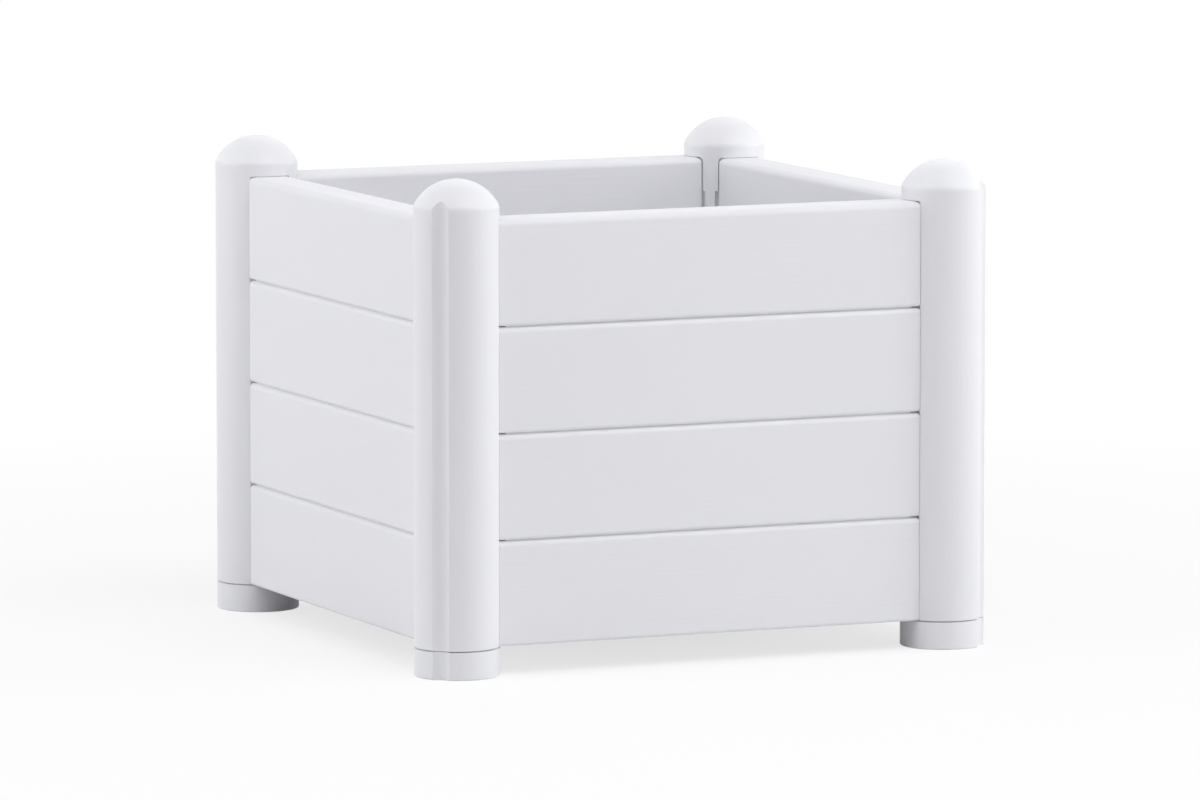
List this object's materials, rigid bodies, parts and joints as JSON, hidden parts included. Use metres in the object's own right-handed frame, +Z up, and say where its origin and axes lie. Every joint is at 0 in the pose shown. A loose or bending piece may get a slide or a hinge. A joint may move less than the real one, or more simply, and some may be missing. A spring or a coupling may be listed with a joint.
{
  "type": "versailles planter",
  "caption": "Square garden planter with hollow plank walls held between round, dome-topped corner posts on plug-in feet, with a drop-in floor that drains.",
  "frame": {"origin": "on the ground, under the middle of the planter", "axes": "+Z up, +X to the right along the front wall, and the front wall faces -Y"},
  "size_m": [0.436, 0.436, 0.3483],
  "materials": {
    "post_plastic": "satin white polypropylene with a faint upright grain",
    "plank_plastic": "satin white polypropylene with a faint embossed wood grain along the plank",
    "foot_plastic": "satin white polypropylene",
    "floor_plastic": "plain white polypropylene"
  },
  "bodies": {
    "root": {"post_front_left": "post_plastic", "foot_front_left": "foot_plastic", "post_front_right": "post_plastic", "foot_front_right": "foot_plastic", "post_back_right": "post_plastic", "foot_back_right": "foot_plastic", "post_back_left": "post_plastic", "foot_back_left": "foot_plastic", "front_plank_1": "plank_plastic", "front_plank_2": "plank_plastic", "front_plank_3": "plank_plastic", "front_plank_4": "plank_plastic", "right_plank_1": "plank_plastic", "right_plank_2": "plank_plastic", "right_plank_3": "plank_plastic", "right_plank_4": "plank_plastic", "back_plank_1": "plank_plastic", "back_plank_2": "plank_plastic", "back_plank_3": "plank_plastic", "back_plank_4": "plank_plastic", "left_plank_1": "plank_plastic", "left_plank_2": "plank_plastic", "left_plank_3": "plank_plastic", "left_plank_4": "plank_plastic", "floor": "floor_plastic"}
  },
  "joints": []
}
